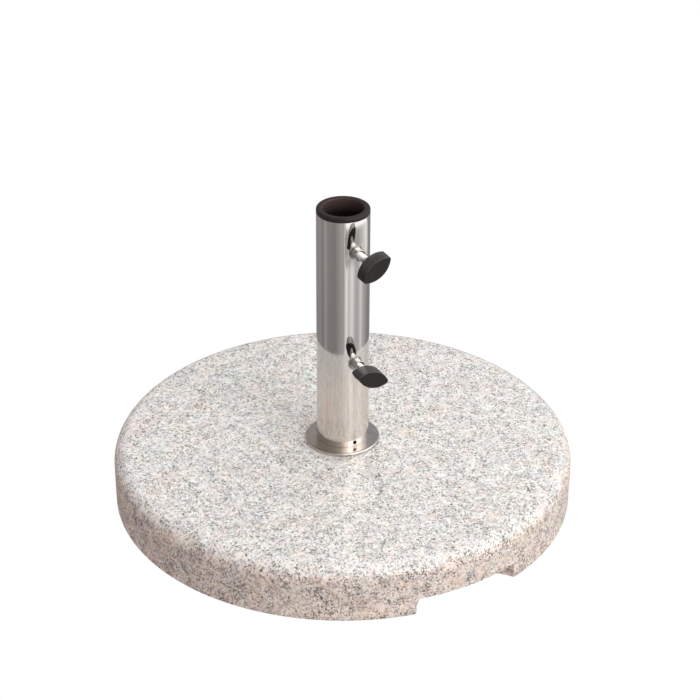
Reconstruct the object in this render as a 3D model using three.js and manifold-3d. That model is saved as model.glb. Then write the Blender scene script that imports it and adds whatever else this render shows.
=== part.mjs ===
// Parasol base: a round granite slab with a polished stainless stand tube that
// clamps the parasol's mast with two thumb screws.
//
// Millimetres, +Z up. The origin is on the ground under the middle of the slab.
// The two thumb screws point along -Y.

import * as THREE from 'three';
import { mergeVertices } from 'three/addons/utils/BufferGeometryUtils.js';
import Module from 'manifold-3d';

const wasm = await Module();
wasm.setup();

// ---------------------------------------------------------------- dimensions

// granite slab
const SLAB_D = 450;              // diameter
const SLAB_T = 55;               // thickness
const SLAB_TOP_ROUND = 15;       // rounding of the upper rim
const SLAB_BOTTOM_CHAMFER = 1.5; // chamfer of the lower rim
const SLAB_BORE_D = 24.6;        // centre bore
const COUNTERBORE_D = 64;        // underside counterbore for bolt and washers
const COUNTERBORE_DEPTH = 15;
const GRIP_R = 62.5;             // grip recess: plan radius
const GRIP_OFFSET = 249.6;       // grip recess: its centre from the slab's axis
const GRIP_H = 17;               // grip recess: height above the underside
const GRIP_AZIMUTH = 3.4;        // degrees from -Y towards +X

// feet
const FOOT_D = 30;
const FOOT_H = 3;
const FOOT_PCR = 165;            // radius of the circle the feet stand on

// rosette between tube and slab
const FLANGE_D = 73;
const FLANGE_T = 4;
const FLANGE_BORE_D = 23.8;
const FLANGE_EDGE_ROUND = 1.6;

// stand tube
const TUBE_D = 50.8;
const TUBE_WALL = 1.5;
const TUBE_L = 243;
const DRAIN_D = 4;
const DRAIN_ABOVE_SLAB = 8.2;

// plug welded into the tube's foot, and its threaded neck
const PLUG_D = 47.2;
const PLUG_T = 2.2;
const PLUG_NECK_D = 23;
const PLUG_NECK_L = 20;          // below the slab's top face
const PLUG_BORE_D = 12.4;
const PLUG_BORE_ROOF = 4.0;      // material left above the blind bore

// anchor bolt M12, spring washer, big flat washer
const BOLT_D = 11.7;
const BOLT_AF = 19;
const BOLT_HEAD_H = 7.5;
const BOLT_L = 44.5;
const SPRING_WASHER_OD = 21;
const SPRING_WASHER_ID = 12.6;
const SPRING_WASHER_T = 2.5;
const SPRING_WASHER_SLIT = 2.2;
const WASHER_OD = 50;
const WASHER_ID = 13.4;
const WASHER_T = 3;

// plastic ring in the tube's mouth
const RING_FLANGE_H = 4.8;
const RING_SKIRT_L = 20;
const RING_SKIRT_OD = 47.2;
const RING_BORE_D = 39.4;
const RING_EDGE_ROUND = 1.8;

// clamps: heights above the slab's underside, and knob base from the tube's axis
const CLAMP_LOWER_Z = 153;
const CLAMP_UPPER_Z = 271;
const KNOB_LOWER_REACH = 48.3;
const KNOB_UPPER_REACH = 53.3;
const KNOB_LOWER_TURN = -20.6;   // degrees, long axis of the knob about the screw's axis
const KNOB_UPPER_TURN = 37;
const BOSS_D = 12;
const BOSS_IN = 24.2;            // inner end, from the tube's axis
const BOSS_OUT = 34.4;           // outer end
const BOSS_BORE_D = 8.02;
const BOSS_HOLE_D = 12.6;        // hole in the tube's wall
const SCREW_D = 7.8;
const SCREW_FREE_L = 28;         // from the knob's base to the shoulder
const SCREW_IN_KNOB = 9;
const SCREW_PIN_D = 3.4;
const SCREW_PIN_L = 2.3;
const PAD_D = 6.4;
const PAD_L = 4;
const PAD_SOCKET_D = 4;
const PAD_SOCKET_DEPTH = 2.6;
const KNOB_L = 33.8;
const KNOB_W = 17.4;
const KNOB_T = 14;
const KNOB_TIP_R = 2;
const KNOB_EDGE = 0.8;
const FIT_GAP = 0.3;             // between joined pieces

// derived heights
const Z_SLAB = FOOT_H;
const Z_TOP = FOOT_H + SLAB_T;
const Z_TUBE = Z_TOP + FLANGE_T;
const Z_RIM = Z_TUBE + TUBE_L;

// ------------------------------------------------------------------- helpers

function bare(geometry) {
  const g = geometry.index ? geometry : geometry.clone();
  for (const name of Object.keys(g.attributes)) if (name !== 'position') g.deleteAttribute(name);
  return mergeVertices(g, 1e-4);
}

// A closed geometry as a manifold solid, with its faces turned outwards.
function solid(geometry) {
  const g = bare(geometry);
  const p = g.attributes.position.array;
  const raw = g.index.array;
  const tri = [];
  for (let i = 0; i < raw.length; i += 3) {
    const [a, b, c] = [raw[i], raw[i + 1], raw[i + 2]];
    if (a !== b && b !== c && a !== c) tri.push(a, b, c);
  }
  let volume = 0;
  for (let i = 0; i < tri.length; i += 3) {
    const [a, b, c] = [tri[i] * 3, tri[i + 1] * 3, tri[i + 2] * 3];
    volume += p[a] * (p[b + 1] * p[c + 2] - p[b + 2] * p[c + 1])
            + p[a + 1] * (p[b + 2] * p[c] - p[b] * p[c + 2])
            + p[a + 2] * (p[b] * p[c + 1] - p[b + 1] * p[c]);
  }
  if (volume < 0) for (let i = 0; i < tri.length; i += 3) [tri[i + 1], tri[i + 2]] = [tri[i + 2], tri[i + 1]];
  return new wasm.Manifold(new wasm.Mesh({
    numProp: 3, vertProperties: new Float32Array(p), triVerts: new Uint32Array(tri),
  }));
}

function geometryOf(manifold) {
  const m = manifold.getMesh();
  const g = new THREE.BufferGeometry();
  g.setAttribute('position', new THREE.BufferAttribute(new Float32Array(m.vertProperties), 3));
  g.setIndex(new THREE.BufferAttribute(new Uint32Array(m.triVerts), 1));
  g.computeVertexNormals();
  return g;
}

// Turned shape about +Z. The profile is a list of [radius, height].
function turned(profile, segments = 64) {
  const points = profile.map(([r, z]) => new THREE.Vector2(r, z));
  return new THREE.LatheGeometry(points, segments).rotateX(Math.PI / 2);
}

// A turned shape whose profile closes on itself, away from the axis.
function turnedRing(profile, segments = 64) {
  return turned([...profile, profile[0]], segments);
}

function cylinder(diameter, z0, z1, segments = 48) {
  const r = diameter / 2;
  return turned([[0, z0], [r, z0], [r, z1], [0, z1]], segments);
}

// A plain ring.
function ring(od, id, z0, z1, segments = 64, edge = 0) {
  const [ro, ri] = [od / 2, id / 2];
  if (!edge) return turnedRing([[ri, z0], [ro, z0], [ro, z1], [ri, z1]], segments);
  return turnedRing([
    [ri, z0], [ro - edge, z0], [ro, z0 + edge], [ro, z1 - edge], [ro - edge, z1], [ri, z1],
  ], segments);
}

// Circumscribed diameter, so that a faceted bore is nowhere smaller than d.
function boreD(d, segments) {
  return d / Math.cos(Math.PI / segments);
}

function arc(cx, cy, r, a0, a1, n) {
  return Array.from({ length: n + 1 }, (_, i) => {
    const a = a0 + (a1 - a0) * i / n;
    return [cx + r * Math.cos(a), cy + r * Math.sin(a)];
  });
}

// ----------------------------------------------------------------- materials

const granite = () => new THREE.MeshStandardMaterial({ color: 0xd9d2c9, roughness: 0.35, metalness: 0 });
const polished = () => new THREE.MeshStandardMaterial({ color: 0xc9c6c2, roughness: 0.12, metalness: 1 });
const zinc = () => new THREE.MeshStandardMaterial({ color: 0xb4b7ba, roughness: 0.35, metalness: 1 });
const blackPlastic = () => new THREE.MeshStandardMaterial({ color: 0x2b2829, roughness: 0.5, metalness: 0 });
const rubber = () => new THREE.MeshStandardMaterial({ color: 0x1b1b1b, roughness: 0.9, metalness: 0 });
const nylon = () => new THREE.MeshStandardMaterial({ color: 0xe6e3da, roughness: 0.5, metalness: 0 });

const base = new THREE.Group();

function add(parent, name, geometry, material) {
  const mesh = new THREE.Mesh(geometry, material);
  mesh.name = name;
  parent.add(mesh);
  return mesh;
}

// ---------------------------------------------------------------------- slab

{
  const r = SLAB_D / 2;
  const blank = turned([
    [0, Z_SLAB], [r - SLAB_BOTTOM_CHAMFER, Z_SLAB], [r, Z_SLAB + SLAB_BOTTOM_CHAMFER],
    ...arc(r - SLAB_TOP_ROUND, Z_TOP - SLAB_TOP_ROUND, SLAB_TOP_ROUND, 0, Math.PI / 2, 7),
    [0, Z_TOP],
  ], 96);
  const bore = cylinder(SLAB_BORE_D, Z_SLAB - 5, Z_TOP + 5, 48);
  const counterbore = cylinder(COUNTERBORE_D, Z_SLAB - 5, Z_SLAB + COUNTERBORE_DEPTH, 48);
  let stone = solid(blank).subtract(solid(bore)).subtract(solid(counterbore));
  for (const side of [-1, 1]) {
    const a = THREE.MathUtils.degToRad(GRIP_AZIMUTH);
    const grip = cylinder(2 * GRIP_R, Z_SLAB - 5, Z_SLAB + GRIP_H, 64);
    grip.translate(-side * GRIP_OFFSET * Math.sin(a), side * GRIP_OFFSET * Math.cos(a), 0);
    stone = stone.subtract(solid(grip));
  }
  add(base, 'granite_slab', geometryOf(stone), granite());
}

// ---------------------------------------------------------------------- feet

['front_right', 'rear_right', 'rear_left', 'front_left'].forEach((where, i) => {
  const a = THREE.MathUtils.degToRad(-45 + 90 * i);
  const r = FOOT_D / 2;
  const foot = add(base, `foot_${where}`, turned([
    [0, 0], [r - 1, 0], [r, 1], [r, FOOT_H], [0, FOOT_H],
  ], 32), rubber());
  foot.position.set(FOOT_PCR * Math.cos(a), FOOT_PCR * Math.sin(a), 0);
});

// ------------------------------------------------- rosette, plug and the bolt

{
  const [ro, ri] = [FLANGE_D / 2, FLANGE_BORE_D / 2];
  add(base, 'base_flange', turnedRing([
    [ri, Z_TOP], [ro, Z_TOP],
    ...arc(ro - FLANGE_EDGE_ROUND, Z_TUBE - FLANGE_EDGE_ROUND, FLANGE_EDGE_ROUND, 0, Math.PI / 2, 4),
    [ri, Z_TUBE],
  ], 72), polished());
}

{
  const plug = solid(turned([
    [0, Z_TOP - PLUG_NECK_L], [PLUG_NECK_D / 2 - 1, Z_TOP - PLUG_NECK_L],
    [PLUG_NECK_D / 2, Z_TOP - PLUG_NECK_L + 1], [PLUG_NECK_D / 2, Z_TUBE],
    [PLUG_D / 2, Z_TUBE], [PLUG_D / 2, Z_TUBE + PLUG_T], [0, Z_TUBE + PLUG_T],
  ], 64));
  const thread = solid(cylinder(PLUG_BORE_D, Z_TOP - PLUG_NECK_L - 5, Z_TUBE + PLUG_T - PLUG_BORE_ROOF, 32));
  add(base, 'tube_foot_plug', geometryOf(plug.subtract(thread)), zinc());
}

const zWasher = Z_SLAB + COUNTERBORE_DEPTH - WASHER_T;
const zSpring = zWasher - SPRING_WASHER_T;
const zHead = zSpring - BOLT_HEAD_H;

add(base, 'anchor_washer', ring(WASHER_OD, WASHER_ID, zWasher, zWasher + WASHER_T, 48, 0.4), zinc());

{
  const coil = solid(ring(SPRING_WASHER_OD, SPRING_WASHER_ID, zSpring, zWasher, 48));
  const slit = new THREE.BoxGeometry(12, SPRING_WASHER_SLIT, 4 * SPRING_WASHER_T);
  slit.rotateX(THREE.MathUtils.degToRad(-25));
  slit.translate((SPRING_WASHER_OD + SPRING_WASHER_ID) / 4, 0, (zSpring + zWasher) / 2);
  add(base, 'spring_washer', geometryOf(coil.subtract(solid(slit))), zinc());
}

{
  const across = BOLT_AF / Math.cos(Math.PI / 6);
  const hexagon = solid(cylinder(across, zHead, zSpring, 6));
  // the head's lower corners are turned off at 30 degrees
  const turnedOff = solid(turned([
    [0, zHead], [BOLT_AF / 2 - 0.3, zHead], [BOLT_AF / 2 + 4, zHead + 2.5],
    [BOLT_AF / 2 + 4, zSpring], [0, zSpring],
  ], 48));
  const shank = solid(turned([
    [0, zSpring - 1], [BOLT_D / 2, zSpring - 1], [BOLT_D / 2, zSpring + BOLT_L - 1.2],
    [BOLT_D / 2 - 1.2, zSpring + BOLT_L], [0, zSpring + BOLT_L],
  ], 32));
  add(base, 'anchor_bolt', geometryOf(hexagon.intersect(turnedOff).add(shank)), zinc());
}

// ---------------------------------------------------------------- stand tube

{
  let tube = solid(ring(TUBE_D, TUBE_D - 2 * TUBE_WALL, Z_TUBE, Z_RIM, 72));
  const wallHole = (diameter, z) => {
    const hole = cylinder(diameter, 15, 35, 32);
    hole.rotateX(Math.PI / 2);
    hole.translate(0, 0, z);
    return solid(hole);
  };
  tube = tube.subtract(wallHole(BOSS_HOLE_D, Z_SLAB + CLAMP_LOWER_Z));
  tube = tube.subtract(wallHole(BOSS_HOLE_D, Z_SLAB + CLAMP_UPPER_Z));
  tube = tube.subtract(wallHole(DRAIN_D, Z_TOP + DRAIN_ABOVE_SLAB));
  add(base, 'stand_tube', geometryOf(tube), polished());
}

// Ring in the tube's mouth: a flange on the rim and a skirt inside the tube.
{
  const [ro, rs, ri] = [TUBE_D / 2, RING_SKIRT_OD / 2, RING_BORE_D / 2];
  const zt = Z_RIM + RING_FLANGE_H;
  add(base, 'top_ring', turnedRing([
    [ri, Z_RIM - RING_SKIRT_L], [rs - 0.6, Z_RIM - RING_SKIRT_L], [rs, Z_RIM - RING_SKIRT_L + 1.5],
    [rs, Z_RIM], [ro, Z_RIM],
    ...arc(ro - RING_EDGE_ROUND, zt - RING_EDGE_ROUND, RING_EDGE_ROUND, 0, Math.PI / 2, 4),
    [ri + 1.0, zt], [ri, zt - 1.2],
  ], 64), blackPlastic());
}

// -------------------------------------------------------------------- clamps

// Lens-shaped outline: two long arcs with round tips.
function knobOutline() {
  const [a, b, t] = [KNOB_L / 2, KNOB_W / 2, KNOB_TIP_R];
  // the long arc's radius follows from touching the tip circles from outside
  const R = ((a - t) ** 2 + b * b - t * t) / (2 * (b - t));
  const c = R - b;
  const tip = Math.atan2(c, a - t);          // direction from the arc's centre to the tip's
  const points = [
    ...arc(0, -c, R, tip, Math.PI - tip, 16),
    ...arc(-(a - t), 0, t, Math.PI - tip, Math.PI + tip, 6).slice(1),
    ...arc(0, c, R, Math.PI + tip, 2 * Math.PI - tip, 16).slice(1),
    ...arc(a - t, 0, t, -tip, tip, 6).slice(1, -1),
  ];
  return new THREE.Shape(points.map(([x, y]) => new THREE.Vector2(x, y)));
}

// In a clamp's own group +Z runs outwards along the screw, from the tube's axis.
function clamp(which, z, reach, turn) {
  const group = new THREE.Group();
  group.position.set(0, 0, z);
  group.rotation.x = Math.PI / 2;
  base.add(group);

  const bore = boreD(BOSS_BORE_D, 32) / 2;
  add(group, `clamp_boss_${which}`, turnedRing([
    [bore, BOSS_IN], [BOSS_D / 2, BOSS_IN], [BOSS_D / 2, BOSS_OUT - 0.5],
    [BOSS_D / 2 - 0.5, BOSS_OUT], [bore, BOSS_OUT],
  ], 32), polished());

  const shoulder = reach - SCREW_FREE_L;
  const r = SCREW_D / 2;
  const pin = SCREW_PIN_D / 2;
  add(group, `clamp_screw_${which}`, turned([
    [0, shoulder - SCREW_PIN_L], [pin - 0.3, shoulder - SCREW_PIN_L], [pin, shoulder - SCREW_PIN_L + 0.3],
    [pin, shoulder], [r - 0.7, shoulder], [r, shoulder + 0.7], [r, reach + SCREW_IN_KNOB],
    [0, reach + SCREW_IN_KNOB],
  ], 32), polished());

  const back = shoulder - FIT_GAP;
  const rp = PAD_D / 2;
  const rs = PAD_SOCKET_D / 2;
  add(group, `clamp_pad_${which}`, turned([
    [0, back - PAD_L], [rp - 0.8, back - PAD_L], [rp, back - PAD_L + 0.8], [rp, back],
    [rs, back], [rs, back - PAD_SOCKET_DEPTH], [0, back - PAD_SOCKET_DEPTH],
  ], 32), nylon());

  const block = new THREE.ExtrudeGeometry(knobOutline(), {
    depth: KNOB_T - 2 * KNOB_EDGE, steps: 1, bevelEnabled: true, bevelThickness: KNOB_EDGE,
    bevelSize: KNOB_EDGE, bevelOffset: -KNOB_EDGE, bevelSegments: 2, curveSegments: 1,
  });
  block.translate(0, 0, reach + KNOB_EDGE);
  const socket = cylinder(SCREW_D + 2 * FIT_GAP, reach - 5, reach + SCREW_IN_KNOB + FIT_GAP, 32);
  const knob = add(group, `clamp_knob_${which}`, geometryOf(solid(block).subtract(solid(socket))), blackPlastic());
  knob.rotation.z = THREE.MathUtils.degToRad(turn);
}

clamp('lower', Z_SLAB + CLAMP_LOWER_Z, KNOB_LOWER_REACH, KNOB_LOWER_TURN);
clamp('upper', Z_SLAB + CLAMP_UPPER_Z, KNOB_UPPER_REACH, KNOB_UPPER_TURN);

export default base;
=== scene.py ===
import math
import random

import bmesh
import bpy
from mathutils import Matrix, Vector
from mathutils.geometry import delaunay_2d_cdt


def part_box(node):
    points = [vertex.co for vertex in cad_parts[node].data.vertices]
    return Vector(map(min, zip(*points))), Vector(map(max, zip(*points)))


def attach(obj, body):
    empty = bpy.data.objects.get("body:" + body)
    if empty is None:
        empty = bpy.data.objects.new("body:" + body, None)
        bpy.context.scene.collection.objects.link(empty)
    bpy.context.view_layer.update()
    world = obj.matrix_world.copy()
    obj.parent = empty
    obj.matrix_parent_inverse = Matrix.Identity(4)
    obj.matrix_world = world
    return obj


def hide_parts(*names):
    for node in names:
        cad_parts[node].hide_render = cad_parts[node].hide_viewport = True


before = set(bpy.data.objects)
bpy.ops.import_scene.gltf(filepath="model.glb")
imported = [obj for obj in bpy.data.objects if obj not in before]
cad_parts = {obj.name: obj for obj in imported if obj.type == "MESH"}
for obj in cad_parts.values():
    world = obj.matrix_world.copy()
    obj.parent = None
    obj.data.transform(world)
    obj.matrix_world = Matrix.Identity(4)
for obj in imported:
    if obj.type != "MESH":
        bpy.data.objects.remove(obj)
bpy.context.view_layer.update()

MM = 0.001
TAU = 2 * math.pi
scene = bpy.context.scene
rng = random.Random(7)

# ------------------------------------------------------------------ the frame

SLAB_LO, SLAB_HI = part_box("granite_slab")
TUBE_LO, TUBE_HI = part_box("stand_tube")
RING_LO, RING_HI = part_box("top_ring")
FLANGE_LO, FLANGE_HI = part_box("base_flange")
PLUG_LO, PLUG_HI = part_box("tube_foot_plug")
BOLT_LO, BOLT_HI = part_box("anchor_bolt")
SPRING_LO, SPRING_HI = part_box("spring_washer")
WASHER_LO, WASHER_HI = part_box("anchor_washer")

R_SLAB = SLAB_HI.x
Z_SLAB = SLAB_LO.z
Z_TOP = SLAB_HI.z
R_TUBE = TUBE_HI.x
R_TUBE_IN = R_TUBE - 1.5 * MM

# ----------------------------------------------------------------- the camera

FOCAL_PX = 2000.0
CAM_AZ, CAM_EL, CAM_ROLL = math.radians(-28.0), math.radians(29.65), math.radians(0.159)
CAM_DIST = 1.927
TARGET = Vector((0, 0, 0.15425 + Z_SLAB))

cam_data = bpy.data.cameras.new("camera")
cam = bpy.data.objects.new("camera", cam_data)
scene.collection.objects.link(cam)
scene.camera = cam
back = Vector((math.sin(CAM_AZ) * math.cos(CAM_EL), -math.cos(CAM_AZ) * math.cos(CAM_EL), math.sin(CAM_EL)))
right = Vector((math.cos(CAM_AZ), math.sin(CAM_AZ), 0))
up = back.cross(right)
r2 = right * math.cos(CAM_ROLL) + up * math.sin(CAM_ROLL)
u2 = -right * math.sin(CAM_ROLL) + up * math.cos(CAM_ROLL)
cam.matrix_world = Matrix.Translation(TARGET + back * CAM_DIST) @ Matrix((
    (r2.x, u2.x, back.x, 0), (r2.y, u2.y, back.y, 0), (r2.z, u2.z, back.z, 0), (0, 0, 0, 1)))
cam_data.sensor_width = 36.0
cam_data.lens = FOCAL_PX / 700 * 36.0
cam_data.shift_x = (350 - 342.8) / 700
cam_data.clip_start, cam_data.clip_end = 0.05, 50

# --------------------------------------------------------------- mesh helpers


def make(name, verts, faces, sharp=32, weighted=True):
    me = bpy.data.meshes.new(name)
    me.from_pydata([tuple(v) for v in verts], [], faces)
    ob = bpy.data.objects.new(name, me)
    scene.collection.objects.link(ob)
    tidy(ob, sharp, weighted)
    return ob


def tidy(ob, sharp=32, weighted=True):
    """Merges doubles, turns the faces outwards and sets smooth shading with sharp edges."""
    me = ob.data
    bm = bmesh.new()
    bm.from_mesh(me)
    bmesh.ops.remove_doubles(bm, verts=bm.verts, dist=1e-7)
    bmesh.ops.dissolve_degenerate(bm, edges=bm.edges, dist=1e-8)
    bmesh.ops.recalc_face_normals(bm, faces=bm.faces)
    if bm.calc_volume(signed=True) < 0:
        bmesh.ops.reverse_faces(bm, faces=bm.faces)
    bm.to_mesh(me)
    bm.free()
    me.shade_smooth()
    me.set_sharp_from_angle(angle=math.radians(sharp))
    if weighted:
        m = ob.modifiers.new("weighted", "WEIGHTED_NORMAL")
        m.keep_sharp = True
        m.weight = 60
    return ob


def arc(cx, cy, r, a0, a1, n):
    return [(cx + r * math.cos(a0 + (a1 - a0) * i / n), cy + r * math.sin(a0 + (a1 - a0) * i / n)) for i in range(n + 1)]


def sweep(name, rings, closed=True, round_trip=True, sharp=32, weighted=True, caps=False):
    """A grid of points: rings[i] is the section at step i. closed joins a section's ends, round_trip the last ring to the first."""
    n = len(rings[0])
    verts = [p for ring in rings for p in ring]
    faces = []
    steps = len(rings) if round_trip else len(rings) - 1
    for i in range(steps):
        j = (i + 1) % len(rings)
        for k in range(n if closed else n - 1):
            l = (k + 1) % n
            faces.append((i * n + k, j * n + k, j * n + l, i * n + l))
    if caps:
        faces.append(tuple(range(n)))
        faces.append(tuple((len(rings) - 1) * n + k for k in reversed(range(n))))
    return make(name, verts, faces, sharp, weighted)


def revolve(name, profile, segs=128, ring=False, sharp=32, centre=(0, 0), weighted=True):
    """Turned shape about +Z. profile is [(radius, height)], or a function of the angle. ring: the profile closes on itself."""
    rings = []
    for i in range(segs):
        a = TAU * i / segs
        pr = profile(a) if callable(profile) else profile
        rings.append([(centre[0] + r * math.cos(a), centre[1] + r * math.sin(a), z) for r, z in pr])
    return sweep(name, rings, closed=ring, round_trip=True, sharp=sharp, weighted=weighted)


def outward(ob):
    """From the screw's own frame, where +Z runs outwards, to the row frame, where that is -Y."""
    ob.data.transform(Matrix.Rotation(math.pi / 2, 4, "X"))


def rounded(profile, radii, n=4):
    """A closed or open polyline with its corners rounded. radii: {index: radius}."""
    out = []
    m = len(profile)
    for i, p in enumerate(profile):
        r = radii.get(i, 0)
        if not r:
            out.append(p)
            continue
        a, b = Vector(profile[i - 1]), Vector(profile[(i + 1) % m])
        p = Vector(p)
        u, v = (a - p).normalized(), (b - p).normalized()
        half = u.angle(v) / 2
        t = r / math.tan(half)
        c = p + (u + v).normalized() * (r / math.sin(half))
        s, e = p + u * t - c, p + v * t - c
        total = s.angle(e)
        cross = s.x * e.y - s.y * e.x
        for k in range(n + 1):
            w = total * k / n * (1 if cross > 0 else -1)
            out.append((c.x + s.x * math.cos(w) - s.y * math.sin(w), c.y + s.x * math.sin(w) + s.y * math.cos(w)))
    return out


def threaded(name, z0, z1, major, pitch, depth, head=(), tail=(), around=56, per_turn=10, fade0=0.8, fade1=0.8):
    """A rod with a right-hand helical thread about +Z from z0 to z1; head and tail are extra (radius, height) rings before and after."""
    rings = []
    n = max(8, int(round((z1 - z0) / pitch * per_turn)))
    heights = [z0 + (z1 - z0) * i / n for i in range(n + 1)]

    def ring_at(z, radius):
        return [(radius(TAU * k / around) * math.cos(TAU * k / around), radius(TAU * k / around) * math.sin(TAU * k / around), z) for k in range(around)]

    for r, z in head:
        rings.append(ring_at(z, lambda a, r=r: r))
    for z in heights:
        grow = min(1.0, (z - z0) / (fade0 * pitch) if fade0 else 1.0, (z1 - z) / (fade1 * pitch) if fade1 else 1.0)
        grow = max(0.0, grow)

        def radius(a, z=z, grow=grow):
            ph = (z / pitch - a / TAU) % 1.0
            h = abs(ph - 0.5) * 2           # 1 at the root, 0 at the crest
            cut = min(1.0, max(0.0, (h - 0.125) / 0.7))
            return major - depth * cut * grow
        rings.append(ring_at(z, radius))
    for r, z in tail:
        rings.append(ring_at(z, lambda a, r=r: r))
    return sweep(name, rings, closed=True, round_trip=False, sharp=50, weighted=False, caps=True)


def boolean(ob, cutters, bevel=None):
    for c in cutters:
        m = ob.modifiers.new("cut", "BOOLEAN")
        m.operation = "DIFFERENCE"
        m.solver = "EXACT"
        m.object = c
    if bevel:
        m = ob.modifiers.new("bevel", "BEVEL")
        m.width, m.segments = bevel
        m.limit_method = "ANGLE"
        m.angle_limit = math.radians(50)
        m.harden_normals = False
    for m in [m for m in ob.modifiers if m.type == "WEIGHTED_NORMAL"]:
        ob.modifiers.remove(m)
    dg = bpy.context.evaluated_depsgraph_get()
    me = bpy.data.meshes.new_from_object(ob.evaluated_get(dg))
    ob.modifiers.clear()
    ob.data = me
    for c in cutters:
        bpy.data.objects.remove(c)
    return ob


# -------------------------------------------------------------- node helpers


class Nodes:
    def __init__(self, name):
        self.mat = bpy.data.materials.new(name)
        self.mat.use_nodes = True
        self.t = self.mat.node_tree
        self.t.nodes.clear()
        self.out = self.t.nodes.new("ShaderNodeOutputMaterial")
        self.bsdf = self.t.nodes.new("ShaderNodeBsdfPrincipled")
        self.link(self.bsdf.outputs[0], self.out.inputs["Surface"])
        self._coord = None

    def link(self, a, b):
        self.t.links.new(a, b)

    def node(self, kind, **props):
        n = self.t.nodes.new("ShaderNode" + kind)
        for k, v in props.items():
            setattr(n, k, v)
        return n

    def put(self, socket, value):
        if isinstance(value, bpy.types.NodeSocket):
            self.link(value, socket)
        elif value is not None:
            socket.default_value = value

    def coord(self):
        if self._coord is None:
            self._coord = self.node("TexCoord").outputs["Object"]
        return self._coord

    def math(self, op, a, b=None, c=None, clamp=False):
        n = self.node("Math", operation=op, use_clamp=clamp)
        self.put(n.inputs[0], a)
        self.put(n.inputs[1], b)
        self.put(n.inputs[2], c)
        return n.outputs[0]

    def vmath(self, op, a, b=None, scale=None):
        n = self.node("VectorMath", operation=op)
        self.put(n.inputs[0], a)
        self.put(n.inputs[1], b)
        if scale is not None:
            self.put(n.inputs["Scale"], scale)
        return n.outputs["Value"] if op in ("LENGTH", "DOT_PRODUCT", "DISTANCE") else n.outputs["Vector"]

    def scaled(self, vec, sx, sy, sz, loc=(0, 0, 0)):
        n = self.node("Mapping")
        self.put(n.inputs["Vector"], vec)
        n.inputs["Scale"].default_value = (sx, sy, sz)
        n.inputs["Location"].default_value = loc
        return n.outputs[0]

    def noise(self, vec, scale, detail=3.0, rough=0.5, distort=0.0, out="Fac"):
        n = self.node("TexNoise")
        self.put(n.inputs["Vector"], vec)
        n.inputs["Scale"].default_value = scale
        n.inputs["Detail"].default_value = detail
        n.inputs["Roughness"].default_value = rough
        n.inputs["Distortion"].default_value = distort
        return n.outputs[out]

    def voronoi(self, vec, scale, out="Color", feature="F1", randomness=1.0):
        n = self.node("TexVoronoi", feature=feature)
        self.put(n.inputs["Vector"], vec)
        n.inputs["Scale"].default_value = scale
        if "Randomness" in n.inputs:
            n.inputs["Randomness"].default_value = randomness
        return n.outputs[out]

    def ramp(self, fac, stops, interpolation="LINEAR"):
        n = self.node("ValToRGB")
        cr = n.color_ramp
        cr.interpolation = interpolation
        while len(cr.elements) < len(stops):
            cr.elements.new(0.5)
        for e, (p, c) in zip(cr.elements, stops):
            e.position = p
            e.color = (*c, 1) if isinstance(c, (tuple, list)) else (c, c, c, 1)
        self.put(n.inputs[0], fac)
        return n.outputs[0]

    def range(self, v, a, b, c=0.0, d=1.0, smooth=False):
        n = self.node("MapRange", interpolation_type="SMOOTHSTEP" if smooth else "LINEAR", clamp=True)
        self.put(n.inputs["Value"], v)
        n.inputs["From Min"].default_value = a
        n.inputs["From Max"].default_value = b
        n.inputs["To Min"].default_value = c
        n.inputs["To Max"].default_value = d
        return n.outputs["Result"]

    def mix(self, fac, a, b, blend="MIX"):
        n = self.node("Mix", data_type="RGBA", blend_type=blend)
        self.put(n.inputs["Factor"], fac)
        for s, v in ((n.inputs[6], a), (n.inputs[7], b)):
            if isinstance(v, (tuple, list)):
                s.default_value = (*v, 1)
            else:
                self.put(s, v)
        return n.outputs[2]

    def split(self, vec):
        n = self.node("SeparateXYZ")
        self.put(n.inputs[0], vec)
        return n.outputs

    def bump(self, height, strength, distance, normal=None):
        n = self.node("Bump")
        n.inputs["Strength"].default_value = strength
        n.inputs["Distance"].default_value = distance
        self.put(n.inputs["Height"], height)
        if normal is not None:
            self.put(n.inputs["Normal"], normal)
        return n.outputs[0]

    def set(self, **values):
        names = {"color": "Base Color", "rough": "Roughness", "metal": "Metallic", "normal": "Normal", "ior": "IOR",
                 "spec": "Specular IOR Level", "aniso": "Anisotropic", "coat": "Coat Weight", "coat_rough": "Coat Roughness",
                 "sss": "Subsurface Weight"}
        for k, v in values.items():
            s = self.bsdf.inputs[names[k]]
            if isinstance(v, (tuple, list)):
                s.default_value = (*v, 1)
            else:
                self.put(s, v)


# ----------------------------------------------------------------- materials


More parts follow.
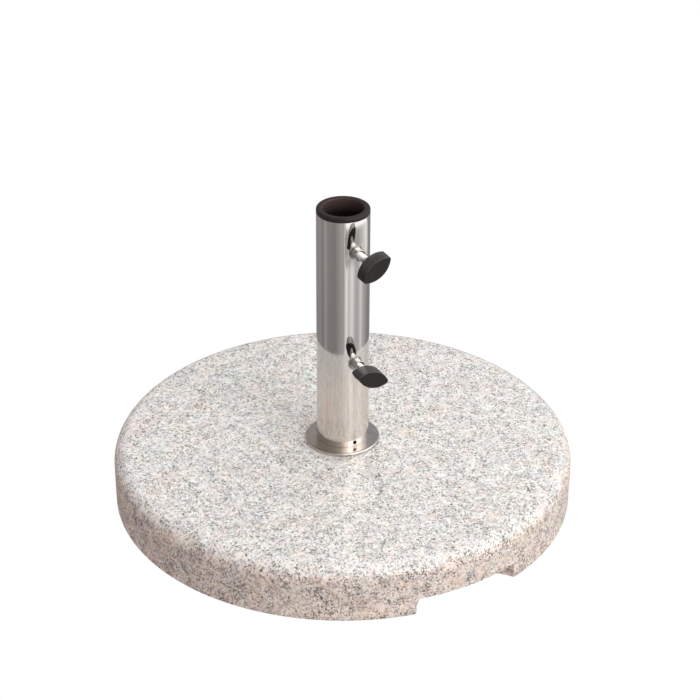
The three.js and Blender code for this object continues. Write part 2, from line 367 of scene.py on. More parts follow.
def granite():
    n = Nodes("granite")
    p0 = n.coord()

    def moved(x, y, z):
        return n.scaled(p0, 1, 1, 1, (x, y, z))

    wob = n.vmath("SUBTRACT", n.noise(p0, 130, 2, 0.5, out="Color"), (0.5, 0.5, 0.5))
    wob2 = n.vmath("SUBTRACT", n.noise(p0, 420, 2, 0.5, out="Color"), (0.5, 0.5, 0.5))
    p = n.vmath("ADD", p0, n.vmath("SCALE", wob, scale=0.0065))
    # crystals of feldspar and quartz, 2 to 6 mm
    cell = n.split(n.voronoi(p, 230, "Color"))
    fine = n.split(n.voronoi(p, 560, "Color"))
    feld = n.ramp(cell[0], [(0.0, (0.93, 0.90, 0.87)), (0.34, (0.86, 0.825, 0.79)), (0.56, (0.78, 0.715, 0.67)),
                            (0.72, (0.76, 0.68, 0.64)), (0.86, (0.62, 0.60, 0.59)), (1.0, (0.50, 0.495, 0.495))])
    small = n.ramp(fine[1], [(0.0, (0.97, 0.95, 0.93)), (0.45, (0.88, 0.85, 0.82)), (0.74, (0.70, 0.665, 0.64)), (0.90, (0.52, 0.50, 0.49)), (1.0, (0.36, 0.35, 0.35))])
    body = n.mix(n.range(n.noise(p0, 300, 2, 0.6), 0.38, 0.60, 0.2, 0.85), feld, small)
    # broad zones: pinkish feldspar, grey quartz
    warm = n.range(n.noise(p0, 30, 4, 0.6), 0.50, 0.66, 0, 1, smooth=True)
    cool = n.range(n.noise(moved(0.31, 0.12, 0.4), 44, 4, 0.62), 0.50, 0.66, 0, 1, smooth=True)
    body = n.mix(n.math("MULTIPLY", warm, 0.31), body, (0.855, 0.70, 0.635))
    # scattered larger crystals, cream and rose
    big_q = n.vmath("ADD", p0, n.vmath("ADD", n.vmath("SCALE", wob, scale=0.003), n.vmath("SCALE", wob2, scale=0.002)))
    big_c = n.split(n.voronoi(big_q, 92, "Color"))
    big_d = n.range(n.voronoi(big_q, 92, "Distance"), 0.22, 0.46, 1, 0, smooth=True)
    cream = n.math("MULTIPLY", n.math("GREATER_THAN", big_c[0], 0.86), big_d)
    rose = n.math("MULTIPLY", n.math("GREATER_THAN", big_c[1], 0.88), big_d)
    body = n.mix(n.math("MULTIPLY", cream, 0.66), body, (0.93, 0.868, 0.775))
    body = n.mix(n.math("MULTIPLY", rose, 0.52), body, (0.89, 0.735, 0.70))
    body = n.mix(n.math("MULTIPLY", cool, 0.22), body, (0.53, 0.54, 0.565))
    # pale veining
    pale = n.range(n.noise(moved(0.7, 0.2, 0.9), 120, 4, 0.62), 0.53, 0.66, 0, 0.70, smooth=True)
    body = n.mix(pale, body, (0.97, 0.95, 0.93))
    # dark mica: single flecks, gathered in loose clusters
    flock = n.range(n.noise(moved(0.05, 0.6, 0.3), 70, 5, 0.72), 0.40, 0.62, 0.0, 1.0)

    def flecks(scale, push, bar, lo, hi, share, colour, amount):
        q = n.vmath("ADD", p0, n.vmath("SCALE", wob2, scale=push))
        d = n.voronoi(q, scale, "Distance")
        c = n.split(n.voronoi(q, scale, "Color"))
        chosen = n.math("GREATER_THAN", n.math("ADD", c[2], n.math("MULTIPLY", flock, share)), bar)
        near = n.range(d, lo, hi, 1, 0)
        tone = n.ramp(c[0], [(0, colour[0]), (0.6, colour[1]), (1, colour[2])])
        return n.mix(n.math("MULTIPLY", n.math("MULTIPLY", chosen, near), amount), body, tone)

    body = flecks(385, 0.007, 0.962, 0.31, 0.43, 0.46, ((0.02, 0.021, 0.025), (0.07, 0.07, 0.075), (0.24, 0.235, 0.235)), 0.93)
    body = flecks(600, 0.004, 0.948, 0.37, 0.50, 0.42, ((0.02, 0.021, 0.024), (0.06, 0.06, 0.064), (0.20, 0.195, 0.195)), 0.93)
    # fine peppering
    pep_c = n.split(n.voronoi(p, 1050, "Color"))
    pep = n.math("GREATER_THAN", n.math("ADD", pep_c[0], n.math("MULTIPLY", flock, 0.14)), 0.93)
    body = n.mix(n.math("MULTIPLY", pep, 0.55), body, (0.26, 0.25, 0.245))
    # faint clouds of rose against green-grey and of cream against blue-grey
    blush = n.range(n.noise(moved(0.2, 0.8, 0.5), 62, 4, 0.6), 0.36, 0.64)
    body = n.mix(1.0, body, n.mix(blush, (0.978, 1.006, 1.006), (1.030, 0.986, 0.986)), "MULTIPLY")
    straw = n.range(n.noise(moved(0.6, 0.1, 0.7), 80, 4, 0.62), 0.36, 0.64)
    body = n.mix(1.0, body, n.mix(straw, (0.992, 0.998, 1.030), (1.010, 1.004, 0.966)), "MULTIPLY")
    # the honed rim is warmer, darker and more contrasted than the polished top
    # the rim is honed and rougher than the polished top; its colour is also painted darker, warmer and more contrasted,
    # as painted shade on the side and its rounding
    nz = n.split(n.node("NewGeometry").outputs["Normal"])[2]
    rim = n.math("MAXIMUM", n.range(nz, 0.36, 0.74, 1, 0, smooth=True), n.range(nz, 0.72, 0.985, 0.32, 0))
    deep = n.node("Gamma")
    n.put(deep.inputs[0], body)
    deep.inputs[1].default_value = 1.28
    # painted shade: the rim's colour deepened and warmed by the direction it faces
    honed_shaded_rim = n.mix(1.0, deep.outputs[0], (1.075, 0.960, 0.905), "MULTIPLY")
    color = n.mix(rim, body, honed_shaded_rim)
    n.set(color=color, rough=n.range(nz, 0.60, 0.97, 0.55, 0.14), spec=0.5, ior=1.54)
    grit = n.noise(p0, 900, 3, 0.6)
    h = n.math("MULTIPLY", grit, n.range(rim, 0, 1, 0.04, 1.0))
    n.set(normal=n.bump(h, 0.35, 0.0004))
    return n.mat


def polished_tube():
    n = Nodes("polished_tube")
    p = n.coord()
    # fine long streaks along the tube
    streak = n.noise(n.scaled(p, 1, 1, 0.012), 900, 4, 0.62)
    wave = n.noise(n.scaled(p, 1, 1, 0.02), 160, 2, 0.5)
    cloud = n.noise(p, 60, 3, 0.5)
    color = n.mix(n.range(streak, 0.3, 0.7), (0.56, 0.538, 0.522), (0.655, 0.633, 0.615))
    # the foot of the tube is rougher, and its colour brighter and warmer
    foot = n.range(n.split(p)[2], 0.11, 0.165, 1, 0, smooth=True)
    color = n.mix(foot, color, n.mix(1.0, color, (1.14, 1.08, 1.03), "MULTIPLY"))
    # painted reflection: a faint warm streak down its front left, placed by the camera's azimuth, stands in for granite
    # seen in the mirror
    s = n.split(p)
    turn = n.math("ARCTAN2", s[0], n.math("MULTIPLY", s[1], -1.0))
    painted_reflection_streak = n.math("MULTIPLY", n.range(n.math("ABSOLUTE", n.math("SUBTRACT", turn, CAM_AZ + math.radians(-38.5))), 0.02, 0.10, 1, 0, smooth=True),
                 n.range(s[2], 0.112, 0.130, 1, 0, smooth=True))
    painted_reflection_streak = n.math("MULTIPLY", painted_reflection_streak, n.range(n.noise(n.scaled(p, 1, 1, 0.1), 220, 3, 0.6), 0.35, 0.65, 0.35, 1.0))
    color = n.mix(painted_reflection_streak, color, n.mix(1.0, color, (1.04, 0.86, 0.70), "MULTIPLY"))
    rough = n.range(n.math("ADD", n.math("MULTIPLY", streak, 0.6), n.math("MULTIPLY", cloud, 0.4)), 0.3, 0.7, 0.030, 0.075)
    n.set(metal=1.0, color=color, rough=n.math("ADD", rough, n.math("MULTIPLY", foot, 0.10)))
    band = n.noise(n.scaled(p, 1, 1, 0.015), 330, 2, 0.5)
    h = n.math("ADD", n.math("ADD", n.math("MULTIPLY", streak, 0.25), n.math("MULTIPLY", band, 0.5)), n.math("MULTIPLY", wave, 0.8))
    n.set(normal=n.bump(h, 0.10, 0.00022))
    return n.mat


def polished_flange():
    n = Nodes("polished_flange")
    p = n.coord()
    s = n.split(p)
    radius = n.math("SQRT", n.math("ADD", n.math("MULTIPLY", s[0], s[0]), n.math("MULTIPLY", s[1], s[1])))
    comb = n.node("CombineXYZ")
    n.link(radius, comb.inputs[0])
    swirl = n.noise(comb.outputs[0], 1500, 3, 0.6)
    cloud = n.noise(p, 90, 3, 0.5)
    # painted reflection: warm on the left, cool on the right, as the flange mirrors its surroundings
    painted_reflection_tint = n.range(n.math("ADD", s[0], n.math("MULTIPLY", s[1], 0.3)), -0.026, 0.026, 0, 1)
    color = n.mix(n.range(cloud, 0.35, 0.65), (0.51, 0.485, 0.46), (0.60, 0.58, 0.565))
    color = n.mix(1.0, color, n.mix(painted_reflection_tint, (1.04, 0.985, 0.945), (0.99, 0.995, 1.04)), "MULTIPLY")
    n.set(metal=1.0, color=color, rough=n.range(swirl, 0.3, 0.7, 0.20, 0.32), normal=n.bump(n.math("ADD", n.math("MULTIPLY", swirl, 0.2), cloud), 0.08, 0.0003))
    return n.mat


def turned_steel(name, color_a, color_b, rough=(0.16, 0.30), axis="Y", scale=2600):
    n = Nodes(name)
    p = n.coord()
    k = {"X": (1, 0.02, 0.02), "Y": (0.02, 1, 0.02), "Z": (0.02, 0.02, 1)}[axis]
    lines = n.noise(n.scaled(p, *k), scale, 2, 0.6)
    cloud = n.noise(p, 260, 3, 0.55)
    n.set(metal=1.0, color=n.mix(n.range(cloud, 0.3, 0.7), color_a, color_b),
          rough=n.range(lines, 0.3, 0.7, *rough), normal=n.bump(lines, 0.12, 0.00006))
    return n.mat


def boss_steel():
    """Turned steel, with painted shade where the boss meets the tube and a painted shadow round the mouth of its bore.
    """
    n = Nodes("boss_steel")
    p = n.coord()
    x, y, z = n.split(p)[0:3]
    lines = n.noise(n.scaled(p, 0.02, 1, 0.02), 2600, 2, 0.6)
    cloud = n.noise(p, 260, 3, 0.55)
    color = n.mix(n.range(cloud, 0.3, 0.7), (0.50, 0.485, 0.465), (0.60, 0.585, 0.565))
    # painted shade: a dark band where the boss meets the tube, also made rougher
    joint_shade_band = n.range(n.math("ADD", y, n.math("MULTIPLY", cloud, 0.002)), -0.0272, -0.0252, 0, 1, smooth=True)
    color = n.mix(n.math("MULTIPLY", joint_shade_band, 0.62), color, (0.20, 0.185, 0.16))
    # painted shadow: a dark ring round the bore's mouth on the boss's end
    levels = [(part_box("clamp_boss_" + k)[0].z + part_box("clamp_boss_" + k)[1].z) / 2 for k in ("lower", "upper")]
    dz = n.math("MINIMUM", *[n.math("ABSOLUTE", n.math("SUBTRACT", z, v)) for v in levels])
    radius = n.math("SQRT", n.math("ADD", n.math("MULTIPLY", x, x), n.math("MULTIPLY", dz, dz)))
    mouth_shadow = n.range(radius, 0.0050, 0.0053, 1, 0)
    color = n.mix(n.math("MULTIPLY", mouth_shadow, 0.7), color, (0.10, 0.095, 0.088))
    rough = n.range(lines, 0.3, 0.7, 0.10, 0.20)
    n.set(metal=1.0, color=color, rough=n.math("ADD", rough, n.math("MULTIPLY", joint_shade_band, 0.16)), normal=n.bump(lines, 0.12, 0.00006))
    return n.mat


def zinc_steel():
    n = Nodes("zinc_steel")
    p = n.coord()
    spangle = n.split(n.voronoi(p, 900, "Color"))
    cloud = n.noise(p, 120, 4, 0.6)
    dull = n.noise(n.scaled(p, 1, 1, 1, (0.2, 0.5, 0.1)), 40, 3, 0.6)
    color = n.mix(n.range(cloud, 0.3, 0.7), (0.50, 0.52, 0.54), (0.64, 0.65, 0.65))
    color = n.mix(n.math("MULTIPLY", spangle[0], 0.18), color, (0.44, 0.45, 0.47))
    color = n.mix(n.range(dull, 0.55, 0.75, 0, 0.35), color, (0.46, 0.44, 0.40))
    n.set(metal=1.0, color=color, rough=n.range(n.math("ADD", cloud, n.math("MULTIPLY", spangle[1], 0.25)), 0.3, 0.95, 0.26, 0.46),
          normal=n.bump(cloud, 0.15, 0.0001))
    return n.mat


def black_plastic(name="black_plastic", bore=False):
    n = Nodes(name)
    p = n.coord()
    grain = n.voronoi(n.vmath("ADD", p, n.vmath("SCALE", n.noise(p, 1500, 2, 0.5, out="Color"), scale=0.0004)), 2400, "Distance")
    soft = n.noise(p, 420, 4, 0.6)
    broad = n.noise(p, 60, 3, 0.55)
    color = n.mix(n.range(soft, 0.3, 0.7), (0.0120, 0.0088, 0.0085), (0.0170, 0.0126, 0.0122))
    color = n.mix(n.range(broad, 0.5, 0.75, 0, 0.5), color, (0.020, 0.0160, 0.0155))
    if bore:
        # painted light and shade in the bore: its wall is painted darker than the outside, with a painted pool of light
        # near its mouth that fades with depth
        s = n.split(p)
        radius = n.math("SQRT", n.math("ADD", n.math("MULTIPLY", s[0], s[0]), n.math("MULTIPLY", s[1], s[1])))
        # painted light near the bore's mouth, fading with depth
        wall = n.math("MULTIPLY", n.range(radius, 0.0199, 0.0206, 1, 0), n.range(s[2], RING_HI.z - 0.0145, RING_HI.z - 0.0015, 0.0, 1.0))
        color = n.mix(1.0, color, (0.016, 0.0100, 0.0092), "ADD")
        # painted shade inside the bore
        color = n.mix(n.range(radius, 0.0199, 0.0206, 1, 0), color, (0.013, 0.0085, 0.0082))
        color = n.mix(n.math("MULTIPLY", wall, n.range(soft, 0.25, 0.75, 0.8, 1.0)), color, (0.092, 0.060, 0.056))
    # rounded edges of the knobs' outer faces are rubbed glossy
    facing = n.split(n.node("TexCoord").outputs["Normal"])
    ny = n.math("MULTIPLY", facing[1], -1.0)
    rubbed = n.math("MULTIPLY", n.range(ny, 0.18, 0.40), n.range(ny, 0.80, 0.95, 1, 0))
    rough = n.range(n.math("ADD", soft, n.math("MULTIPLY", broad, 0.6)), 0.5, 1.1, 0.32, 0.46)
    if not bore:
        # painted light: faces turned up are painted lighter, and faces turned towards the tube are painted lighter for
        # the light the tube throws back
        painted_top_light = n.math("MULTIPLY", n.range(facing[2], 0.25, 0.85, 0, 1, smooth=True), n.range(soft, 0.3, 0.7, 0.75, 1.0))
        color = n.mix(painted_top_light, color, (0.036, 0.031, 0.031))
        # painted light: the faces towards the tube lightened for the light the tube throws back
        color = n.mix(n.math("MULTIPLY", n.range(ny, -0.9, -0.6, 1, 0), n.range(broad, 0.3, 0.7, 0.7, 1.0)), color, (0.040, 0.037, 0.035))
        rubbed = n.math("MAXIMUM", rubbed, n.math("MULTIPLY", painted_top_light, n.range(n.math("ABSOLUTE", ny), 0.3, 0.7, 1, 0)))
    if bore:
        n.set(color=color, rough=n.math("ADD", rough, 0.04), ior=1.49, spec=0.19)
    else:
        n.set(color=color, rough=n.math("SUBTRACT", rough, n.math("MULTIPLY", rubbed, 0.10)), ior=1.49, spec=n.range(rubbed, 0, 1, 0.25, 1.0))
    n.set(normal=n.bump(n.math("ADD", n.math("MULTIPLY", grain, 0.6), n.math("MULTIPLY", soft, 0.4)), 0.22, 0.00012))
    return n.mat


def rubber():
    n = Nodes("rubber")
    p = n.coord()
    a = n.noise(p, 700, 4, 0.6)
    b = n.noise(p, 90, 3, 0.5)
    color = n.mix(n.range(b, 0.35, 0.7), (0.016, 0.016, 0.017), (0.040, 0.039, 0.038))
    n.set(color=color, rough=n.range(a, 0.3, 0.7, 0.70, 0.90), spec=0.35, normal=n.bump(a, 0.3, 0.0002))
    return n.mat


def nylon():
    n = Nodes("nylon")
    p = n.coord()
    a = n.noise(p, 900, 3, 0.6)
    b = n.noise(p, 200, 3, 0.5)
    color = n.mix(n.range(b, 0.3, 0.7), (0.70, 0.68, 0.61), (0.79, 0.77, 0.71))
    n.set(color=color, rough=n.range(a, 0.3, 0.7, 0.38, 0.52), normal=n.bump(a, 0.15, 0.0001))
    return n.mat


MATS = {
    "granite": granite(),
    "tube": polished_tube(),
    "flange": polished_flange(),
    "boss": boss_steel(),
    "screw": turned_steel("screw_steel", (0.60, 0.585, 0.575), (0.70, 0.685, 0.675), (0.24, 0.36), "Y"),
    "plug": turned_steel("plug_steel", (0.52, 0.51, 0.50), (0.62, 0.61, 0.60), (0.22, 0.36), "Z"),
    "zinc": zinc_steel(),
    "plastic": black_plastic(),
    "ring": black_plastic("ring_plastic", True),
    "rubber": rubber(),
    "nylon": nylon(),
}


def dress(ob, node, mat, body):
    ob.data.materials.clear()
    ob.data.materials.append(MATS[mat])
    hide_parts(node)
    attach(ob, body)
    return ob


# ---------------------------------------------------------------- the pieces


def build_slab():
    r, top, lo = R_SLAB, Z_TOP, Z_SLAB
    rd, ch = 15 * MM, 1.5 * MM
    prof = [(0, lo), (R_SLAB * 0.5, lo)]
    prof += [(r - ch, lo)] + arc(r - ch, lo + ch, ch, -math.pi / 2, 0, 4)[1:]
    prof += arc(r - rd, top - rd, rd, 0, math.pi / 2, 14)
    prof += [(r * 0.6, top), (r * 0.3, top), (0, top)]
    slab = revolve("stone_slab", prof, 384, weighted=False)
    cutters = [revolve("bore", [(0, lo - 0.01), (12.3 * MM, lo - 0.01), (12.3 * MM, top + 0.01), (0, top + 0.01)], 96, weighted=False)]
    c = 1.2 * MM
    cutters.append(revolve("counterbore", [(0, lo - 0.01), (32 * MM + 0.01 + c, lo - 0.01), (32 * MM, lo + c), (32 * MM, lo + 15 * MM), (0, lo + 15 * MM)], 128, weighted=False))
    az = math.radians(3.4)
    for side in (-1, 1):
        cx, cy = -side * 249.6 * MM * math.sin(az), side * 249.6 * MM * math.cos(az)
        rg, h, f = 62.5 * MM, 17 * MM, 3 * MM
        pr = [(0, lo - 0.01), (rg + 0.01 + 1.5 * MM, lo - 0.01), (rg, lo + 1.5 * MM)]
        pr += arc(rg - f, lo + h - f, f, 0, math.pi / 2, 6) + [(0, lo + h)]
        cutters.append(revolve("grip", pr, 256, centre=(cx, cy), weighted=False))
    boolean(slab, cutters)
    bm = bmesh.new()
    bm.from_mesh(slab.data)
    bmesh.ops.remove_doubles(bm, verts=bm.verts, dist=2e-6)
    bmesh.ops.dissolve_degenerate(bm, edges=bm.edges, dist=2e-6)
    # soften the edges where the grip recesses break out of the rim
    lines = []
    for e in bm.edges:
        if len(e.link_faces) != 2:
            continue
        m = (e.verts[0].co + e.verts[1].co) / 2
        if m.xy.length > r - 0.4 * MM and lo + 0.2 * MM < m.z < lo + 19 * MM and e.calc_face_angle(0) > math.radians(40):
            lines.append(e)
    if lines:
        bmesh.ops.bevel(bm, geom=lines, offset=0.9 * MM, segments=3, profile=0.5, affect="EDGES", clamp_overlap=True)
    bmesh.ops.remove_doubles(bm, verts=bm.verts, dist=1e-5)
    bmesh.ops.dissolve_degenerate(bm, edges=bm.edges, dist=1e-6)
    for _ in range(3):
        loose = [e for e in bm.edges if not e.link_faces]
        if loose:
            bmesh.ops.delete(bm, geom=loose, context="EDGES")
        gaps = [e for e in bm.edges if len(e.link_faces) == 1]
        if not gaps:
            break
        bmesh.ops.holes_fill(bm, edges=gaps, sides=0)
    bm.to_mesh(slab.data)
    bm.free()
    tidy(slab, 30, weighted=True)
    return dress(slab, "granite_slab", "granite", "base")


def build_tube():
    """The tube's outer and inner walls as one sheet pattern in angle and height, with its holes."""
    ro, ri = R_TUBE, R_TUBE_IN
    z0, z1 = TUBE_LO.z, TUBE_HI.z
    b0, b1 = 0.3 * MM, 0.35 * MM
    seam = math.pi / 2                  # at the rear
    cols, rows = 192, 24
    lo, hi = z0 + b0, z1 - b1
    holes = []
    for node, rh in (("clamp_boss_lower", 6.2 * MM), ("clamp_boss_upper", 6.2 * MM)):
        a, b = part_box(node)
        holes.append(((a.z + b.z) / 2, rh, 48))
    holes.append((Z_TOP + 8.2 * MM, 2.0 * MM, 32))
    front = -math.pi / 2 - seam + TAU   # angle past the seam of the holes' side
    pts, edges = [], []
    us = [TAU * i / cols for i in range(cols + 1)]
    vs = [lo + (hi - lo) * j / rows for j in range(rows + 1)]

    def clear(u, v):
        return all(math.hypot((u - front) * ro, v - zc) > rh * 1.12 for zc, rh, _ in holes)

    for v in vs:
        for u in us:
            if clear(u, v):
                pts.append(Vector((u * ro, v)))
    for zc, rh, n in holes:
        first = len(pts)
        for k in range(n):
            t = TAU * k / n
            pts.append(Vector(((front + math.asin(rh * math.cos(t) / ro)) * ro, zc + rh * math.sin(t))))
            edges.append((first + k, first + (k + 1) % n))
    vert, _, faces, *_ = delaunay_2d_cdt(pts, edges, [], 0, 1e-9)

    def keep(f):
        c = sum((vert[i] for i in f), Vector((0, 0))) / len(f)
        turn = c.x / ro - front
        return abs(turn) > math.pi / 2 or all(math.hypot(ro * math.sin(turn), c.y - zc) > rh * 0.999 for zc, rh, _ in holes)

    kept = [f for f in faces if keep(f)]
    nv = len(vert)
    verts, out_faces, normals = [], [], []
    # neighbours at a hole's edge and at the rims are found from edges used once
    for r in (ro, ri):
        for p in vert:
            a = p.x / ro + seam
            verts.append((r * math.cos(a), r * math.sin(a), p.y))
            normals.append((math.cos(a), math.sin(a), 0) if r == ro else (-math.cos(a), -math.sin(a), 0))
    used = {}
    for f in kept:
        out_faces.append(tuple(f))
        out_faces.append(tuple(i + nv for i in reversed(f)))
        for i in range(len(f)):
            e = (f[i], f[(i + 1) % len(f)])
            used[e] = used.get(e, 0) + 1
    rim_low, rim_high = [], []
    for (a, b) in used:
        if (b, a) in used:
            continue
        pa, pb = vert[a], vert[b]
        if abs(pa.y - lo) < 1e-7 and abs(pb.y - lo) < 1e-7:
            rim_low.append((a, b))
        elif abs(pa.y - hi) < 1e-7 and abs(pb.y - hi) < 1e-7:
            rim_high.append((a, b))
        elif abs(pa.x - pb.x) < 1e-9 and (pa.x < 1e-6 or pa.x > (TAU - 1e-6) * ro):
            continue                    # the seam
        else:
            out_faces.append((b, a, a + nv, b + nv))
    # rounded rims: from the outer wall over to the inner one
    def rim(edge_list, z_edge, z_face, r_round, sign):
        prof = [(ro, z_edge)]
        prof += [(ro - r_round + r_round * math.cos(t), z_face - sign * r_round + sign * r_round * math.sin(t))
                 for t in [math.pi / 2 * k / 6 for k in range(1, 7)]]
        inner = 0.25 * MM
        prof += [(ri + inner, z_face), (ri, z_face - sign * inner), (ri, z_edge)]
        for a, b in edge_list:
            ua, ub = vert[a].x / ro + seam, vert[b].x / ro + seam
            for (r0, h0), (r1, h1) in zip(prof, prof[1:]):
                k = len(verts)
                for u, r_, h_ in ((ua, r0, h0), (ub, r0, h0), (ub, r1, h1), (ua, r1, h1)):
                    verts.append((r_ * math.cos(u), r_ * math.sin(u), h_))
                out_faces.append((k, k + 1, k + 2, k + 3))
    rim(rim_high, hi, z1, b1, 1)
    rim(rim_low, lo, z0, b0, -1)
    tube = make("stand_tube_polished", verts, out_faces, sharp=30, weighted=True)
    return dress(tube, "stand_tube", "tube", "base")


def build_flange():
    r, z0, z1 = FLANGE_HI.x, FLANGE_LO.z, FLANGE_HI.z
    ri = 11.9 * MM
    e = 1.6 * MM
    prof = rounded([(ri, z0), (r, z0), (r, z1), (ri, z1)], {1: 0.2 * MM, 2: e, 3: 0.2 * MM}, 8)
    ob = revolve("rosette", prof, 256, ring=True)
    return dress(ob, "base_flange", "flange", "base")


def build_ring():
    ro, zt = RING_HI.x, RING_HI.z
    zr = TUBE_HI.z
    rs, ri = 23.6 * MM, 19.7 * MM
    zb = RING_LO.z
    prof = [(ri, zb), (rs - 0.8 * MM, zb), (rs, zb + 2.2 * MM), (rs, zr), (ro, zr), (ro, zt - 0.15 * MM), (ri, zt)]
    prof = rounded(prof, {0: 0.3 * MM, 1: 0.25 * MM, 3: 0, 4: 0.35 * MM, 5: 1.9 * MM, 6: 1.5 * MM}, 8)
    ob = revolve("mouth_ring", prof, 256, ring=True, sharp=40)
    return dress(ob, "top_ring", "ring", "base")


def build_plug():
    z0, z1 = PLUG_LO.z, PLUG_HI.z
    zt = FLANGE_HI.z
    ro, rn, rb = 23.6 * MM, 11.5 * MM, 6.2 * MM
    roof = z1 - 4.0 * MM
    prof = [(0, z1), (ro, z1), (ro, zt), (rn, zt), (rn, z0), (rb, z0), (rb, roof), (0, roof - 0.4 * MM)]
    prof = rounded(prof, {1: 0.5 * MM, 2: 0.2 * MM, 4: 0.8 * MM, 5: 0.6 * MM}, 4)
    # two shallow turned grooves on the seat
    prof = [(0, z1), (3 * MM, z1), (3.3 * MM, z1 - 0.15 * MM), (3.9 * MM, z1 - 0.15 * MM), (4.2 * MM, z1),
            (14 * MM, z1), (14.3 * MM, z1 - 0.15 * MM), (15.1 * MM, z1 - 0.15 * MM), (15.4 * MM, z1)] + prof[1:]
    ob = revolve("foot_plug", prof, 160, sharp=25)
    return dress(ob, "tube_foot_plug", "plug", "base")


def build_bolt():
    z0, z1, zt = BOLT_LO.z, SPRING_LO.z, BOLT_HI.z
    half = 9.5 * MM
    n = 96
    rings = []
    cols = []
    for i in range(n):
        a = TAU * i / n
        w = (a + math.pi / 6) % (math.pi / 3) - math.pi / 6
        flat = half / math.cos(w)
        flat = min(flat, half / math.cos(math.pi / 6) - 0.15 * MM)
        cham = max(0.0, (flat - (half - 0.25 * MM)) * math.tan(math.radians(30)))
        cham_t = max(0.0, (flat - half * 0.985) * math.tan(math.radians(30)))
        col = [(0, z0 + 0.35 * MM), (half * 0.60, z0 + 0.35 * MM), (half * 0.66, z0 + 0.05 * MM), (half * 0.72, z0), (half - 0.25 * MM, z0),
               (flat - 0.12 * MM, z0 + max(0.0, cham - 0.07 * MM)), (flat, z0 + cham + 0.12 * MM),
               (flat, z1 - 0.5 * MM - cham_t), (half - 0.35 * MM, z1 - 0.35 * MM), (half - 0.35 * MM, z1), (0, z1)]
        cols.append([(r * math.cos(a), r * math.sin(a), z) for r, z in col])
    head = sweep("anchor_bolt_head", cols, closed=False, round_trip=True, sharp=28)
    shank = threaded("anchor_bolt_thread", z1 + 1.2 * MM, zt - 1.2 * MM, 5.85 * MM, 1.75 * MM, 1.05 * MM,
                     head=[(5.0 * MM, z1 - 0.3 * MM), (5.0 * MM, z1 + 1.1 * MM)], tail=[(4.5 * MM, zt - 0.1 * MM), (4.2 * MM, zt)], around=48, per_turn=8)
    dress(head, "anchor_bolt", "zinc", "base")
    shank.data.materials.append(MATS["zinc"])
    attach(shank, "base")
    return head


def build_washers():
    z0, z1 = WASHER_LO.z, WASHER_HI.z
    prof = rounded([(6.7 * MM, z0), (25 * MM, z0), (25 * MM, z1), (6.7 * MM, z1)], {0: 0.25 * MM, 1: 0.7 * MM, 2: 0.3 * MM, 3: 0.2 * MM}, 4)
    ob = revolve("wide_washer", prof, 160, ring=True)
    dress(ob, "anchor_washer", "zinc", "base")
    z0, z1 = SPRING_LO.z, SPRING_HI.z
    ri, ro = 6.3 * MM, 10.5 * MM
    sec = rounded([(ri, z0), (ro, z0), (ro, z1), (ri, z1)], {0: 0.3 * MM, 1: 0.5 * MM, 2: 0.3 * MM, 3: 0.3 * MM}, 3)
    rings = []
    n = 120
    for i in range(n + 1):
        t = i / n
        ring = []
        for r, z in sec:
            lean = (z - (z0 + z1) / 2) * math.tan(math.radians(25))
            a0 = math.asin((1.1 * MM - lean) / r)
            a1 = TAU - math.asin((1.1 * MM + lean) / r)
            a = a0 + (a1 - a0) * t
            ring.append((r * math.cos(a), r * math.sin(a), z))
        rings.append(ring)
    ob = sweep("split_washer", rings, closed=True, round_trip=False, caps=True)
    dress(ob, "spring_washer", "zinc", "base")


def build_feet():
    for node in ("foot_front_left", "foot_front_right", "foot_rear_left", "foot_rear_right"):
        a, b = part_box(node)
        c = (a + b) / 2
        r, h = (b.x - a.x) / 2, b.z
        prof = [(0, 0.4 * MM), (2.5 * MM, 0.4 * MM), (3.0 * MM, 0.0), (5.5 * MM, 0.0), (6.0 * MM, 0.5 * MM), (7.5 * MM, 0.5 * MM),
                (8.0 * MM, 0.0), (10.0 * MM, 0.0), (10.5 * MM, 0.5 * MM), (11.5 * MM, 0.5 * MM), (12 * MM, 0.0)]
        prof += arc(r - 1.2 * MM, 1.2 * MM, 1.2 * MM, -math.pi / 2, 0, 5) + [(r, h), (0, h)]
        ob = revolve(node + "_pad", prof, 96, centre=(c.x, c.y), sharp=28)
        dress(ob, node, "rubber", "base")


def lens(a, b, t, n=40, m=10):
    """Lens outline, counter-clockwise: two long arcs with round tips."""
    R = ((a - t) ** 2 + b * b - t * t) / (2 * (b - t))
    c = R - b
    tip = math.atan2(c, a - t)
    pts = arc(0, -c, R, tip, math.pi - tip, n)
    pts += arc(-(a - t), 0, t, math.pi - tip, math.pi + tip, m)[1:]
    pts += arc(0, c, R, math.pi + tip, TAU - tip, n)[1:]
    pts += arc(a - t, 0, t, -tip, tip, m)[1:-1]
    return pts


